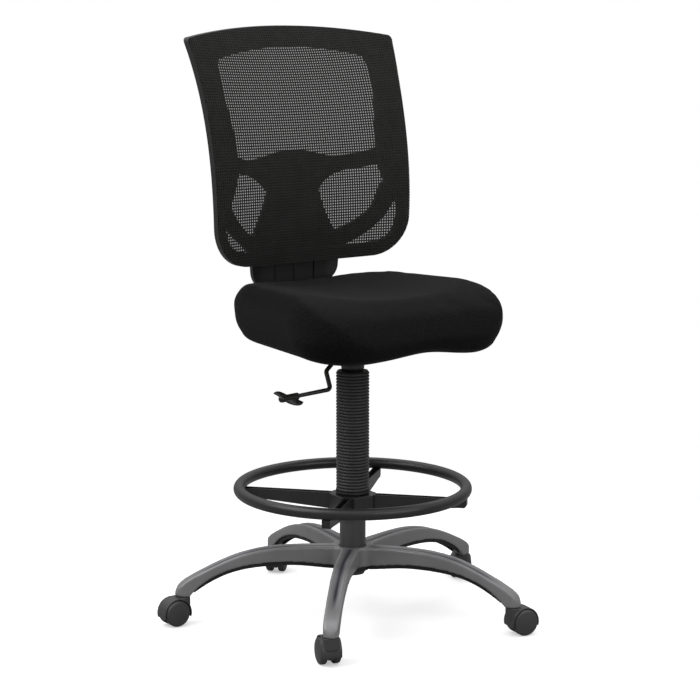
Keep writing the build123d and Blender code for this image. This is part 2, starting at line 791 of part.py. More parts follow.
# hexagon bolts from below: x, y, underside of what they clamp, grip length
bolt_head = 5.3
bolt_places = [(x, y, plate_bottom, plate_thickness + pan_thickness - 2) for x, y in seat_nut_spots]
bolt_places += [(0, y, plate_bottom - upright_thickness, upright_thickness + plate_thickness + 5.5)
                for y in upright_bolt_y]
with BuildPart() as seat_bolts:
    for x, y, under, grip in bolt_places:
        with BuildSketch(Plane.XY.offset(under - bolt_head)):
            with Locations((x, y)):
                RegularPolygon(7.5, 6)
        extrude(amount=bolt_head)
        with Locations((x, y, under - bolt_head)):
            Cylinder(bolt_radius - 0.05, bolt_head + grip, align=(Align.CENTER, Align.CENTER, Align.MIN))
save(seat_bolts.part, "seat_bolts")

cushion_bottom = pan_bottom
with BuildPart() as seat_cushion:
    with BuildSketch(Plane.XY.offset(cushion_bottom)):
        add(seat_outline())
    extrude(amount=seat_crown - cushion_bottom)
    fillet(edges().group_by(Axis.Z)[-1], radius=seat_top_round)
    fillet(edges().group_by(Axis.Z)[0], radius=seat_under_round)
    # side view: rolled front edge and low rear edge
    with BuildSketch(Plane.YZ):
        with BuildLine():
            Spline(
                (seat_rear + 20, seat_crown - 40),
                (seat_rear - 12, seat_crown - 8),
                (seat_rear - 80, seat_crown),
                (-seat_front + 150, seat_crown - 3),
                (-seat_front + 78, seat_crown - 20),
                (-seat_front + 30, seat_crown - 44),
                (-seat_front, seat_crown - 78),
            )
            Spline(
                (-seat_front, seat_crown - 78),
                (-seat_front + 12, cushion_bottom + 16),
                (-seat_front + 50, cushion_bottom),
            )
            Polyline(
                (-seat_front + 50, cushion_bottom),
                (seat_rear + 20, cushion_bottom),
                (seat_rear + 20, seat_crown - 40),
            )
        make_face()
    extrude(amount=2 * seat_half_width, both=True, mode=Mode.INTERSECT)
    # front view: the dish between the side bolsters
    with BuildSketch(Plane.XZ):
        with BuildLine():
            Spline((-seat_half_width + 40, seat_crown + 1), (-110, seat_crown - 11),
                   (0, seat_crown - seat_dish), (110, seat_crown - 11),
                   (seat_half_width - 40, seat_crown + 1))
            Line((seat_half_width - 40, seat_crown + 1), (-seat_half_width + 40, seat_crown + 1))
        make_face()
    extrude(amount=2 * seat_front, both=True, mode=Mode.SUBTRACT)
    # recess for the pan
    with BuildSketch(Plane.XY.offset(pan_bottom - 10)):
        add(pan_outline(soft_gap))
    extrude(amount=pan_thickness + 10 + soft_gap, mode=Mode.SUBTRACT)
save(seat_cushion.part, "seat_cushion")

# ---------------------------------------------------------------- upright of the back
upright_front = 42.0
bar_middle = plate_bottom - upright_thickness / 2
with BuildPart() as back_upright:
    with BuildSketch(Plane.YZ):
        with BuildLine():
            FilletPolyline((upright_front + upright_thickness / 2, bar_middle),
                           (upright_y, bar_middle),
                           (upright_y, upright_top - upright_thickness / 2),
                           radius=upright_bend)
            offset(amount=upright_thickness / 2, kind=Kind.INTERSECTION)
        make_face()
    extrude(amount=upright_width / 2, both=True)
    with Locations(*[(0, y, bar_middle) for y in upright_bolt_y]):
        Cylinder(bolt_radius + seat_gap, 2 * upright_thickness, mode=Mode.SUBTRACT)
save(back_upright.part, "back_upright")

# ---------------------------------------------------------------- sleeve on the upright
sleeve_face = support_middle_y + support_thickness / 2
sleeve_depth = upright_y - sleeve_face
slot_half = 48.0
slot_top = 700.0
screw_spots = [(x, sleeve_bottom + z) for x in (-37.6, 37.6) for z in (80, 134)]


def sleeve_shell(side):
    """Half of the sleeve; side is -1 in front of the upright and +1 behind it."""
    with BuildPart() as shell:
        with BuildSketch(Plane.XY.offset(sleeve_bottom)):
            with Locations((0, upright_y + side * sleeve_depth / 2)):
                Rectangle(sleeve_width, sleeve_depth)
            with Locations((0, upright_y)):
                Rectangle(upright_width + 2 * run_gap, upright_thickness + 2 * run_gap,
                          mode=Mode.SUBTRACT)
            with Locations((0, upright_y - side * 50)):
                Rectangle(2 * sleeve_width, 100, mode=Mode.SUBTRACT)
        extrude(amount=sleeve_height)
        outer = shell.part.edges().filter_by(Axis.Z).filter_by(
            lambda e: abs(abs(e.center().X) - sleeve_width / 2) < 0.1
            and side * (e.center().Y - upright_y) > 5)
        fillet(outer, radius=4)
        with Locations(*[(x, upright_y, z) for x, z in screw_spots]):
            Cylinder(2.1, 60, rotation=(90, 0, 0), mode=Mode.SUBTRACT)
        if side > 0:
            with Locations(*[(x, upright_y + sleeve_depth, z) for x, z in screw_spots]):
                Cylinder(4.3, 6, rotation=(90, 0, 0), mode=Mode.SUBTRACT)
    return shell.part


with BuildPart() as sleeve_front:
    add(sleeve_shell(-1))
    # nose in the slot of the support, with a rib down its middle
    with BuildSketch(Plane.XY.offset(sleeve_bottom)):
        with Locations((0, sleeve_face)):
            Rectangle(2 * slot_half - 6, support_thickness, align=(Align.CENTER, Align.MAX))
        with Locations((0, sleeve_face - support_thickness)):
            Rectangle(2.4, 2, align=(Align.CENTER, Align.MAX))
    extrude(amount=slot_top - 1 - sleeve_bottom)
save(sleeve_front.part, "sleeve_front")
save(sleeve_shell(1), "sleeve_rear")

with BuildPart() as sleeve_screws:
    for x, z in screw_spots:
        with Locations((x, upright_y - 3.5, z)):
            Cylinder(2, 31, rotation=(90, 0, 0))
        with Locations((x, upright_y + sleeve_depth - 1.6, z)):
            Cylinder(4, 2.8, rotation=(90, 0, 0))
save(sleeve_screws.part, "sleeve_screws")

# ---------------------------------------------------------------- back frame
profile_axis = Axis((0, lumbar_y + profile_radius, lumbar_z), (1, 0, 0))
shell_up = 32       # degrees of the side view curve above and below the lumbar point
shell_down = 11
wrap_radius = (back_half_waist**2 + wrap_depth**2) / (2 * wrap_depth)


def back_shell(front, thickness):
    """Curved slab of the back: its plan arc swung about the side view curve's axis."""
    middle = lumbar_y + wrap_depth
    with BuildPart() as slab:
        with BuildSketch(Plane.XY.offset(lumbar_z)):
            with Locations((0, middle - wrap_radius)):
                Circle(wrap_radius + front + thickness)
                Circle(wrap_radius + front, mode=Mode.SUBTRACT)
            with Locations((0, middle)):
                Rectangle(2 * back_half_top + 16, 240, mode=Mode.INTERSECT)
        revolve(axis=profile_axis, revolution_arc=shell_down + shell_up)
    return slab.part.rotate(profile_axis, -shell_up)


def back_outline():
    """Front view of the back: wide arched top, waisted sides, full bottom corners."""
    with BuildSketch(Plane.XZ) as outline:
        with BuildLine():
            ThreePointArc((-back_half_top, back_shoulder), (0, back_top),
                          (back_half_top, back_shoulder))
            Spline((back_half_top, back_shoulder), (back_half_waist + 3, lumbar_z + 190),
                   (back_half_waist, lumbar_z + 10), (back_half_waist - 5, back_bottom + 4))
            ThreePointArc((back_half_waist - 5, back_bottom + 4), (0, back_bottom),
                          (-back_half_waist + 5, back_bottom + 4))
            Spline((-back_half_waist + 5, back_bottom + 4), (-back_half_waist, lumbar_z + 10),
                   (-back_half_waist - 3, lumbar_z + 190), (-back_half_top, back_shoulder))
        make_face()
        fillet(vertices().sort_by(Axis.Y)[-2:], radius=9)
        fillet(vertices().sort_by(Axis.Y)[:2], radius=back_corner)
    return outline.sketch


def window_outline():
    """Front view of the opening in the hoop."""
    top_half = back_half_top - side_band - 7
    waist_half = back_half_waist - side_band
    low_half = back_half_waist - low_side_band
    top = back_shoulder - top_band
    low = back_bottom + bottom_band
    right_side = [(low_half - 2, lumbar_z - 28), (low_half - 19, lumbar_z - 55),
                  (low_half - 55, low + 4), (low_half * 0.35, low)]
    with BuildSketch(Plane.XZ) as window:
        with BuildLine():
            ThreePointArc((-top_half, top), (0, back_top - top_band), (top_half, top))
            for side in (-1, 1):
                Spline((side * top_half, top),
                       (side * (waist_half + 1), (top + lumbar_z) / 2 + 16),
                       (side * waist_half, lumbar_z + 84),
                       (side * (waist_half + 16), lumbar_z + 40),
                       (side * low_half, lumbar_z + 10))
                Spline((side * low_half, lumbar_z + 10), *[(side * x, z) for x, z in right_side],
                       tangents=((side * 0.1, -1), (-side, 0)))
            Line((-low_half * 0.35, low), (low_half * 0.35, low))
        make_face()
        fillet(vertices().sort_by(Axis.Y)[-2:], radius=12)
    return window.sketch


support_half = back_half_waist - support_inset


def support_point(across, up):
    """Point of the support's front view from shares of its half width and height."""
    height = support_rise if up > 0 else support_drop
    return (across * support_half, lumbar_z + up * height)


def support_outline():
    """Front view of the support behind the mesh: crossbar, waist, two arms and trunk."""
    crossbar_top = [support_point(*p) for p in (
        (0, 1.0), (0.16, 0.975), (0.44, 0.875), (0.7, 0.94), (0.953, 1.034))]
    crossbar_end = [support_point(*p) for p in (
        (0.953, 1.034), (0.972, 0.99), (0.972, 0.8), (0.953, 0.76))]
    crossbar_under = [support_point(*p) for p in (
        (0.953, 0.76), (0.7, 0.69), (0.45, 0.585), (0.28, 0.33))]
    waist = [support_point(*p) for p in ((0.28, 0.33), (0.34, 0.02), (0.45, -0.295))]
    arm_over = [support_point(*p) for p in ((0.45, -0.295), (0.68, -0.103), (0.822, 0.26))]
    arm_tip = [support_point(*p) for p in (
        (0.822, 0.26), (0.86, 0.41), (0.907, 0.454), (0.972, 0.395), (0.995, 0.286))]
    arm_under = [support_point(*p) for p in (
        (0.995, 0.286), (0.822, -0.192), (0.664, -0.37), (0.49, -0.514))]
    foot_x, foot_z = support_point(0.31, -1)
    heel_x, heel_z = support_point(0.477, -0.74)
    with BuildSketch(Plane.XZ) as support:
        with BuildLine():
            Spline(*crossbar_top, tangents=((1, 0), (1, 0.15)))
            Polyline(*crossbar_end)
            Spline(*crossbar_under, tangents=((-1, 0), (-0.6, -1)))
            Spline(*waist)
            Spline(*arm_over, tangents=((1, 0.3), (0.2, 1)))
            Polyline(*arm_tip)
            Spline(*arm_under, tangents=((-0.2, -1), (-1, -0.35)))
            Line(arm_under[-1], (heel_x, heel_z))
            RadiusArc((heel_x, heel_z), (foot_x, foot_z), heel_z - foot_z)
            Polyline((foot_x, foot_z), (slot_half, foot_z), (slot_half, slot_top), (0, slot_top))
            mirror(about=Plane.YZ)
        make_face()
    return support.sketch


# the support is screwed to the hoop at the crossbar's ends and at the tips of its arms
boss_spots = [(x * side, z) for side in (-1, 1) for x, z in ((192, 872), (198, 806))]
screw_skin = 3.5        # hoop left in front of a screw
screw_hole = 2.1
screw_seat_y = support_ends_y + 7


def shell_front(x, z):
    """Y of the hoop's front surface at a point of the front view."""
    at_lumbar = lumbar_y + wrap_depth - wrap_radius + sqrt(wrap_radius**2 - x**2)
    swing = lumbar_y + profile_radius - at_lumbar
    return lumbar_y + profile_radius - sqrt(swing**2 - (z - lumbar_z)**2)


with BuildPart() as back_frame:
    with BuildSketch(Plane.XZ):
        add(back_outline().faces())
        add(window_outline().faces(), mode=Mode.SUBTRACT)
    extrude(amount=-400)
    add(back_shell(0, frame_thickness), mode=Mode.INTERSECT)
    with Locations(*[(x, shell_front(x, z) + screw_skin, z) for x, z in boss_spots]):
        Cylinder(screw_hole, 40, rotation=(90, 0, 0), align=(Align.CENTER, Align.CENTER, Align.MAX),
                 mode=Mode.SUBTRACT)
save(back_frame.part, "back_frame")

with BuildPart() as back_mesh:
    with BuildSketch(Plane.XZ):
        add(back_outline().faces())
    extrude(amount=-400)
    add(back_shell(-soft_gap - mesh_thickness, mesh_thickness), mode=Mode.INTERSECT)
save(back_mesh.part, "back_mesh")

sweep_start = support_half - 64
sweep_y = support_ends_y + 18
with BuildPart() as back_support:
    # plan: flat behind the spine, swept forward to the hoop at both ends
    with BuildSketch(Plane.XY.offset(sleeve_bottom - 20)):
        with BuildLine():
            FilletPolyline((-support_half, support_ends_y), (-sweep_start, sweep_y),
                           (-2 * slot_half, support_middle_y),
                           (2 * slot_half, support_middle_y), (sweep_start, sweep_y),
                           (support_half, support_ends_y), radius=80)
            offset(amount=support_thickness / 2, kind=Kind.INTERSECTION)
        make_face()
    extrude(amount=400)
    with BuildSketch(Plane.XZ.offset(-300)):
        add(support_outline().faces())
    extrude(amount=300, mode=Mode.INTERSECT)
    with Locations(*[(x, support_ends_y - 2, z) for x, z in boss_spots]):
        Cylinder(8, 40, rotation=(90, 0, 0), align=(Align.CENTER, Align.CENTER, Align.MIN))
    add(back_shell(-60, 60 + frame_thickness + seat_gap), mode=Mode.SUBTRACT)
    with Locations(*[(x, support_ends_y, z) for x, z in boss_spots]):
        Cylinder(screw_hole, 60, rotation=(90, 0, 0), mode=Mode.SUBTRACT)
    with Locations(*[(x, screw_seat_y, z) for x, z in boss_spots]):
        Cylinder(4.2, 30, rotation=(90, 0, 0), align=(Align.CENTER, Align.CENTER, Align.MAX),
                 mode=Mode.SUBTRACT)
    with Locations(*[(x, support_middle_y, z) for x, z in screw_spots]):
        Cylinder(screw_hole, 24, rotation=(90, 0, 0), mode=Mode.SUBTRACT)
save(back_support.part, "back_support")

with BuildPart() as back_screws:
    for x, z in boss_spots:
        tip = shell_front(x, z) + screw_skin + 0.5
        with Locations((x, tip, z)):
            Cylinder(screw_hole - seat_gap, screw_seat_y - tip, rotation=(90, 0, 0),
                     align=(Align.CENTER, Align.CENTER, Align.MAX))
        with Locations((x, screw_seat_y, z)):
            Cylinder(3.8, 2.4, rotation=(90, 0, 0), align=(Align.CENTER, Align.CENTER, Align.MAX))
save(back_screws.part, "back_screws")
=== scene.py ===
# Drafting chair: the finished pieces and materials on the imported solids.
import json
import math

import bpy
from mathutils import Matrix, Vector


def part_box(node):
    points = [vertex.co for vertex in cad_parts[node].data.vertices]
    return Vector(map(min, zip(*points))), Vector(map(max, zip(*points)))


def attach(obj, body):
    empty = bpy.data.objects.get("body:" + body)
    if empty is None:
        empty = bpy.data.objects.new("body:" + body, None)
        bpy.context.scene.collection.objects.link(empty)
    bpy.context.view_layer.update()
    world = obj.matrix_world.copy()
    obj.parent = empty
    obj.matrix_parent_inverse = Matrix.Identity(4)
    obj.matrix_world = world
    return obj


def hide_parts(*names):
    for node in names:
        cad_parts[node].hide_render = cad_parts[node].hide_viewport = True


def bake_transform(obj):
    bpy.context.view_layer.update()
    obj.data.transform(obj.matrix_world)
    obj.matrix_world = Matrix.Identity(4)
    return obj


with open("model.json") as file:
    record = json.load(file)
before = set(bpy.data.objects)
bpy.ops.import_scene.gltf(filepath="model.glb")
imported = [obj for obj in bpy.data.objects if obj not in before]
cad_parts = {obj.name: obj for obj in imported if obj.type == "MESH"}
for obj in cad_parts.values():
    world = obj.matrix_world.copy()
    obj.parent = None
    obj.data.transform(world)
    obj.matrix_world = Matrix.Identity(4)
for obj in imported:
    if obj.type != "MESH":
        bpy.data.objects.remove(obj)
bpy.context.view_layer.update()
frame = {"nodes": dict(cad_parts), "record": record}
nodes = frame["nodes"]

MM = 0.001


# ------------------------------------------------------------ working helpers
def deselect():
    """Nothing selected, so the next operator touches only what it is given."""
    if bpy.context.object and bpy.context.object.mode != "OBJECT":
        bpy.ops.object.mode_set(mode="OBJECT")
    bpy.ops.object.select_all(action="DESELECT")


def take(piece):
    """Make one piece the selected and active one."""
    deselect()
    piece.select_set(True)
    bpy.context.view_layer.objects.active = piece


def apply_modifiers(piece):
    """Put every modifier of a piece into its mesh, in order."""
    take(piece)
    for modifier in list(piece.modifiers):
        bpy.ops.object.modifier_apply(modifier=modifier.name)


def smooth(piece, angle=35):
    """Smooth shading over edges flatter than the angle."""
    take(piece)
    bpy.ops.object.shade_smooth_by_angle(angle=math.radians(angle))


def outward(piece):
    """Merge doubled points and turn the faces outward."""
    take(piece)
    bpy.ops.object.mode_set(mode="EDIT")
    bpy.ops.mesh.select_all(action="SELECT")
    bpy.ops.mesh.remove_doubles(threshold=0.00001)
    bpy.ops.mesh.normals_make_consistent(inside=False)
    bpy.ops.object.mode_set(mode="OBJECT")


def new_mesh(name, points, edges=()):
    """An object from points and edges, in the scene."""
    mesh = bpy.data.meshes.new(name)
    mesh.from_pydata(points, edges, [])
    piece = bpy.data.objects.new(name, mesh)
    bpy.context.scene.collection.objects.link(piece)
    return piece


def turned(name, profile, steps=64):
    """A closed profile of (radius, height) points spun about the column axis."""
    points = [(radius, 0, height) for radius, height in profile]
    edges = [(i, (i + 1) % len(points)) for i in range(len(points))]
    piece = new_mesh(name, points, edges)
    take(piece)
    bpy.ops.object.mode_set(mode="EDIT")
    bpy.ops.mesh.select_all(action="SELECT")
    bpy.ops.mesh.spin(steps=steps, angle=math.tau, center=(0, 0, 0), axis=(0, 0, 1))
    bpy.ops.object.mode_set(mode="OBJECT")
    outward(piece)
    return piece


def copy_of(node, name):
    """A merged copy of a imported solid's mesh, as the start of a finished piece."""
    mesh = nodes[node].data.copy()
    mesh.materials.clear()
    piece = bpy.data.objects.new(name, mesh)
    bpy.context.scene.collection.objects.link(piece)
    mesh.name = name
    outward(piece)
    return piece


def finished(piece, body, slot, material, *replaced):
    """Give a piece its material, its body and the solids that it stands for."""
    piece.data.materials.clear()
    piece.data.materials.append(material)
    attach(piece, body)
    if replaced:
        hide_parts(*replaced)
    return piece


# ------------------------------------------------------------ shader groups
def shader_group(name, inputs, outputs):
    """An empty node group with its sockets, and its input and output nodes."""
    group = bpy.data.node_groups.new(name, "ShaderNodeTree")
    for label, kind, value in inputs:
        socket = group.interface.new_socket(name=label, in_out="INPUT", socket_type=kind)
        if value is not None:
            socket.default_value = value
    for label, kind in outputs:
        group.interface.new_socket(name=label, in_out="OUTPUT", socket_type=kind)
    return group, group.nodes.new("NodeGroupInput"), group.nodes.new("NodeGroupOutput")


def math_node(tree, operation, first, second=None):
    node = tree.nodes.new("ShaderNodeMath")
    node.operation = operation
    for socket, value in zip(node.inputs, (first, second)):
        if value is None:
            continue
        if isinstance(value, (int, float)):
            socket.default_value = value
        else:
            tree.links.new(value, socket)
    return node.outputs[0]


def noise_node(tree, vector, scale, detail=2.0, roughness=0.5):
    node = tree.nodes.new("ShaderNodeTexNoise")
    tree.links.new(vector, node.inputs["Vector"])
    if isinstance(scale, (int, float)):
        node.inputs["Scale"].default_value = scale
    else:
        tree.links.new(scale, node.inputs["Scale"])
    node.inputs["Detail"].default_value = detail
    node.inputs["Roughness"].default_value = roughness
    return node.outputs["Fac"]


def make_grain_group():
    """Fine moulded or sprayed texture: a height, a slow tone and a fine fleck."""
    group, start, end = shader_group(
        "Surface grain",
        [("Vector", "NodeSocketVector", None), ("Scale", "NodeSocketFloat", 900.0)],
        [("Height", "NodeSocketFloat"), ("Tone", "NodeSocketFloat"), ("Fleck", "NodeSocketFloat")])
    vector, scale = start.outputs["Vector"], start.outputs["Scale"]
    group.links.new(noise_node(group, vector, scale, 3.0, 0.6), end.inputs["Height"])
    group.links.new(noise_node(group, vector, math_node(group, "MULTIPLY", scale, 0.012), 3.0),
                    end.inputs["Tone"])
    group.links.new(noise_node(group, vector, math_node(group, "MULTIPLY", scale, 0.35), 1.0),
                    end.inputs["Fleck"])
    return group


def make_weave_group():
    """Plain weave on three planes, mixed by where the surface faces."""
    group, start, end = shader_group(
        "Plain weave",
        [("Vector", "NodeSocketVector", None), ("Normal", "NodeSocketVector", None),
         ("Thread", "NodeSocketFloat", 0.0016)],
        [("Height", "NodeSocketFloat")])
    split = group.nodes.new("ShaderNodeSeparateXYZ")
    group.links.new(start.outputs["Vector"], split.inputs[0])
    facing = group.nodes.new("ShaderNodeSeparateXYZ")
    group.links.new(start.outputs["Normal"], facing.inputs[0])
    step = math_node(group, "DIVIDE", math.pi, start.outputs["Thread"])
    angle = [math_node(group, "MULTIPLY", split.outputs[i], step) for i in range(3)]
    sines = [math_node(group, "SINE", a) for a in angle]
    height = None
    for first, second, across in ((0, 1, 2), (1, 2, 0), (2, 0, 1)):
        both = math_node(group, "MULTIPLY", sines[first], sines[second])
        knot = math_node(group, "ABSOLUTE", both)
        over = math_node(group, "POWER", knot, 0.6)
        share = math_node(group, "POWER", math_node(group, "ABSOLUTE", facing.outputs[across]), 4.0)
        part = math_node(group, "MULTIPLY", over, share)
        height = part if height is None else math_node(group, "ADD", height, part)
    group.links.new(height, end.inputs["Height"])
    return group


def make_net_group():
    """Square openings in rows and columns, partly let through, on a map in metres."""
    group, start, end = shader_group(
        "Knitted net",
        [("Vector", "NodeSocketVector", None), ("Pitch", "NodeSocketFloat", 0.0052),
         ("Open", "NodeSocketFloat", 0.0), ("Sheer", "NodeSocketFloat", 0.5)],
        [("Cloth", "NodeSocketFloat"), ("Height", "NodeSocketFloat")])
    split = group.nodes.new("ShaderNodeSeparateXYZ")
    group.links.new(start.outputs["Vector"], split.inputs[0])
    step = math_node(group, "DIVIDE", math.tau, start.outputs["Pitch"])
    across = math_node(group, "COSINE", math_node(group, "MULTIPLY", split.outputs[0], step))
    along = math_node(group, "COSINE", math_node(group, "MULTIPLY", split.outputs[1], step))
    wave = math_node(group, "MINIMUM", across, along)
    hole = math_node(group, "GREATER_THAN", wave, start.outputs["Open"])
    hole = math_node(group, "MULTIPLY", hole, start.outputs["Sheer"])
    group.links.new(math_node(group, "SUBTRACT", 1.0, hole), end.inputs["Cloth"])
    group.links.new(math_node(group, "SUBTRACT", 1.0, wave), end.inputs["Height"])
    return group


grain_group = make_grain_group()
weave_group = make_weave_group()
net_group = make_net_group()


def new_material(name):
    """A material with its Principled shader and object coordinates ready."""
    material = bpy.data.materials.new(name)
    material.use_nodes = True
    tree = material.node_tree
    shader = tree.nodes["Principled BSDF"]
    place = tree.nodes.new("ShaderNodeTexCoord")
    return material, tree, shader, place


def colour_ramp(tree, factor, dark, light, low=0.3, high=0.7):
    ramp = tree.nodes.new("ShaderNodeValToRGB")
    ramp.color_ramp.elements[0].position = low
    ramp.color_ramp.elements[0].color = (*dark, 1)
    ramp.color_ramp.elements[1].position = high
    ramp.color_ramp.elements[1].color = (*light, 1)
    tree.links.new(factor, ramp.inputs["Fac"])
    return ramp.outputs["Color"]


def value_range(tree, factor, low, high):
    node = tree.nodes.new("ShaderNodeMapRange")
    node.inputs["From Min"].default_value = 0.3
    node.inputs["From Max"].default_value = 0.7
    node.inputs["To Min"].default_value = low
    node.inputs["To Max"].default_value = high
    tree.links.new(factor, node.inputs["Value"])
    return node.outputs["Result"]


def bump(tree, shader, height, distance, edge=0.0):
    """Relief from a height, over edges that catch the light as if rounded to a radius."""
    node = tree.nodes.new("ShaderNodeBump")
    node.inputs["Distance"].default_value = distance
    tree.links.new(height, node.inputs["Height"])
    if edge:
        rounded = tree.nodes.new("ShaderNodeBevel")
        rounded.inputs["Radius"].default_value = edge
        tree.links.new(rounded.outputs["Normal"], node.inputs["Normal"])
    tree.links.new(node.outputs["Normal"], shader.inputs["Normal"])


def grained(name, dark, light, rough, scale, depth, metallic=0.0, specular=0.5, edge=0.0008):
    """Sprayed or moulded finish: slow change of tone, fine grain in gloss and relief."""
    material, tree, shader, place = new_material(name)
    grain = tree.nodes.new("ShaderNodeGroup")
    grain.node_tree = grain_group
    grain.inputs["Scale"].default_value = scale
    tree.links.new(place.outputs["Object"], grain.inputs["Vector"])
    tree.links.new(colour_ramp(tree, grain.outputs["Tone"], dark, light), shader.inputs["Base Color"])
    tree.links.new(value_range(tree, grain.outputs["Fleck"], rough - 0.04, rough + 0.05),
                   shader.inputs["Roughness"])
    shader.inputs["Metallic"].default_value = metallic
    shader.inputs["Specular IOR Level"].default_value = specular
    bump(tree, shader, grain.outputs["Height"], depth, edge)
    return material


arm_paint = grained("arm_paint", (0.235, 0.234, 0.24), (0.265, 0.264, 0.27), 0.32, 1500, 0.00003,
                    metallic=0.25)
sleeve_plastic = grained("sleeve_plastic", (0.011, 0.011, 0.0105), (0.015, 0.015, 0.0145), 0.4, 1800,
                         0.00004, edge=0.0015)
column_paint = grained("column_paint", (0.058, 0.058, 0.059), (0.070, 0.070, 0.071), 0.34, 1500,
                       0.00003)
# painted shade: near-black finish for the frame under the arms, standing for the shade beneath them
underside_shade_paint = grained("underside_shade_paint", (0.005, 0.005, 0.005), (0.008, 0.008, 0.008), 0.5, 1500, 0.00004)
dark_paint = grained("dark_paint", (0.014, 0.014, 0.0145), (0.02, 0.02, 0.0205), 0.33, 1500, 0.00004)
black_plastic = grained("black_plastic", (0.011, 0.011, 0.0105), (0.016, 0.016, 0.0155), 0.5, 1800,
                        0.00006)
caster_plastic = grained("caster_plastic", (0.042, 0.042, 0.043), (0.055, 0.055, 0.056), 0.4, 1800,
                         0.00005)
bellows_plastic = grained("bellows_plastic", (0.032, 0.032, 0.032), (0.042, 0.042, 0.042), 0.5, 1200,
                          0.00004, edge=0.0)
grip_plastic = grained("grip_plastic", (0.007, 0.007, 0.007), (0.011, 0.011, 0.011), 0.4, 1800,
                       0.00004)
steel = grained("steel", (0.5, 0.5, 0.51), (0.62, 0.62, 0.63), 0.28, 2500, 0.00002, metallic=1.0)


def paint_groove_shade(material):
    """Painted shade: darker, faintly violet colour down in the marked grooves, for the shade and dark
    reflection in them.
    """
    tree = material.node_tree
    shader = tree.nodes["Principled BSDF"]
    plain = shader.inputs["Base Color"].links[0].from_socket
    mark = tree.nodes.new("ShaderNodeAttribute")
    mark.attribute_name = "groove_and_shade"
    mix = tree.nodes.new("ShaderNodeMix")
    mix.data_type = "RGBA"
    # colour of the painted shade in the groove bottoms
    mix.inputs["B"].default_value = (0.035, 0.032, 0.045, 1)
    tree.links.new(mark.outputs["Fac"], mix.inputs["Factor"])
    tree.links.new(plain, mix.inputs["A"])
    tree.links.new(mix.outputs["Result"], shader.inputs["Base Color"])


# painted shade along the middle of each arm's top
paint_groove_shade(arm_paint)


def make_board():
    """Plywood: plies in the height and long grain over the faces."""
    material, tree, shader, place = new_material("board")
    stretch = tree.nodes.new("ShaderNodeMapping")
    stretch.inputs["Scale"].default_value = (4, 60, 700)
    tree.links.new(place.outputs["Object"], stretch.inputs["Vector"])
    grain = noise_node(tree, stretch.outputs["Vector"], 1.0, 4.0, 0.6)
    tree.links.new(colour_ramp(tree, grain, (0.3, 0.19, 0.1), (0.55, 0.4, 0.25)),
                   shader.inputs["Base Color"])
    shader.inputs["Roughness"].default_value = 0.7
    bump(tree, shader, grain, 0.0002)
    return material


def make_seat_fabric():
    """Black woven upholstery with a soft sheen and slightly lighter thread tops."""
    material, tree, shader, place = new_material("seat_fabric")
    weave = tree.nodes.new("ShaderNodeGroup")
    weave.node_tree = weave_group
    weave.inputs["Thread"].default_value = 0.0022
    tree.links.new(place.outputs["Object"], weave.inputs["Vector"])
    tree.links.new(place.outputs["Normal"], weave.inputs["Normal"])
    slow = noise_node(tree, place.outputs["Object"], 320.0, 3.0, 0.7)
    mix = math_node(tree, "ADD", math_node(tree, "MULTIPLY", weave.outputs["Height"], 0.55),
                    math_node(tree, "MULTIPLY", slow, 0.75))
    tree.links.new(colour_ramp(tree, mix, (0.0038, 0.0038, 0.0038), (0.018, 0.018, 0.0182), 0.4, 0.9),
                   shader.inputs["Base Color"])
    shader.inputs["Roughness"].default_value = 0.85
    shader.inputs["Specular IOR Level"].default_value = 0.05
    shader.inputs["Sheen Weight"].default_value = 0.05
    shader.inputs["Sheen Roughness"].default_value = 0.3
    bump(tree, shader, weave.outputs["Height"], 0.0005)
    return material


def make_mesh_fabric():
    """Black net whose openings are let through by alpha, not cut in the mesh."""
    material, tree, shader, place = new_material("mesh_fabric")
    net = tree.nodes.new("ShaderNodeGroup")
    net.node_tree = net_group
    net.inputs["Pitch"].default_value = 0.0054
    net.inputs["Open"].default_value = 0.0
    net.inputs["Sheer"].default_value = 0.62
    cloth_map = tree.nodes.new("ShaderNodeUVMap")
    cloth_map.uv_map = "cloth"
    tree.links.new(cloth_map.outputs["UV"], net.inputs["Vector"])
    tree.links.new(net.outputs["Cloth"], shader.inputs["Alpha"])
    slow = noise_node(tree, place.outputs["Object"], 40.0, 3.0)
    tree.links.new(colour_ramp(tree, slow, (0.013, 0.013, 0.012), (0.019, 0.019, 0.018)),
                   shader.inputs["Base Color"])
    shader.inputs["Roughness"].default_value = 0.75
    shader.inputs["Specular IOR Level"].default_value = 0.3
    bump(tree, shader, net.outputs["Height"], 0.00015)
    return material


board = make_board()
seat_fabric = make_seat_fabric()
mesh_fabric = make_mesh_fabric()

finishes = {
    "arm_paint": arm_paint, "dark_paint": dark_paint, "steel": steel, "black_plastic": black_plastic,
    "caster_plastic": caster_plastic, "bellows_plastic": bellows_plastic, "grip_plastic": grip_plastic,
    "board": board, "seat_fabric": seat_fabric, "mesh_fabric": mesh_fabric,
}
for subpart in frame["record"]["subparts"]:
    mesh = nodes[subpart["node"]].data
    mesh.materials.clear()
    mesh.materials.append(finishes[subpart["material_slot"]])
# the frame under the arms gets the painted shade finish
nodes["base_frame"].data.materials[0] = underside_shade_paint
nodes["gas_tube"].data.materials[0] = column_paint
for node in ("sleeve_front", "back_support"):
    nodes[node].data.materials[0] = sleeve_plastic

# ------------------------------------------------------------ camera
camera_place = (-2.371, -3.147, 1.183)
camera_down = 9.59
camera_heading = -36.92
camera_lens = 108.35
camera_film = 36
bpy.ops.object.camera_add(location=camera_place,
                          rotation=(math.radians(90 - camera_down), 0, math.radians(camera_heading)))
camera = bpy.context.object
camera.name = "camera"
camera.data.lens = camera_lens
camera.data.sensor_width = camera_film
camera.data.clip_end = 50
bpy.context.scene.camera = camera
bpy.context.scene.view_settings.view_transform = "Standard"

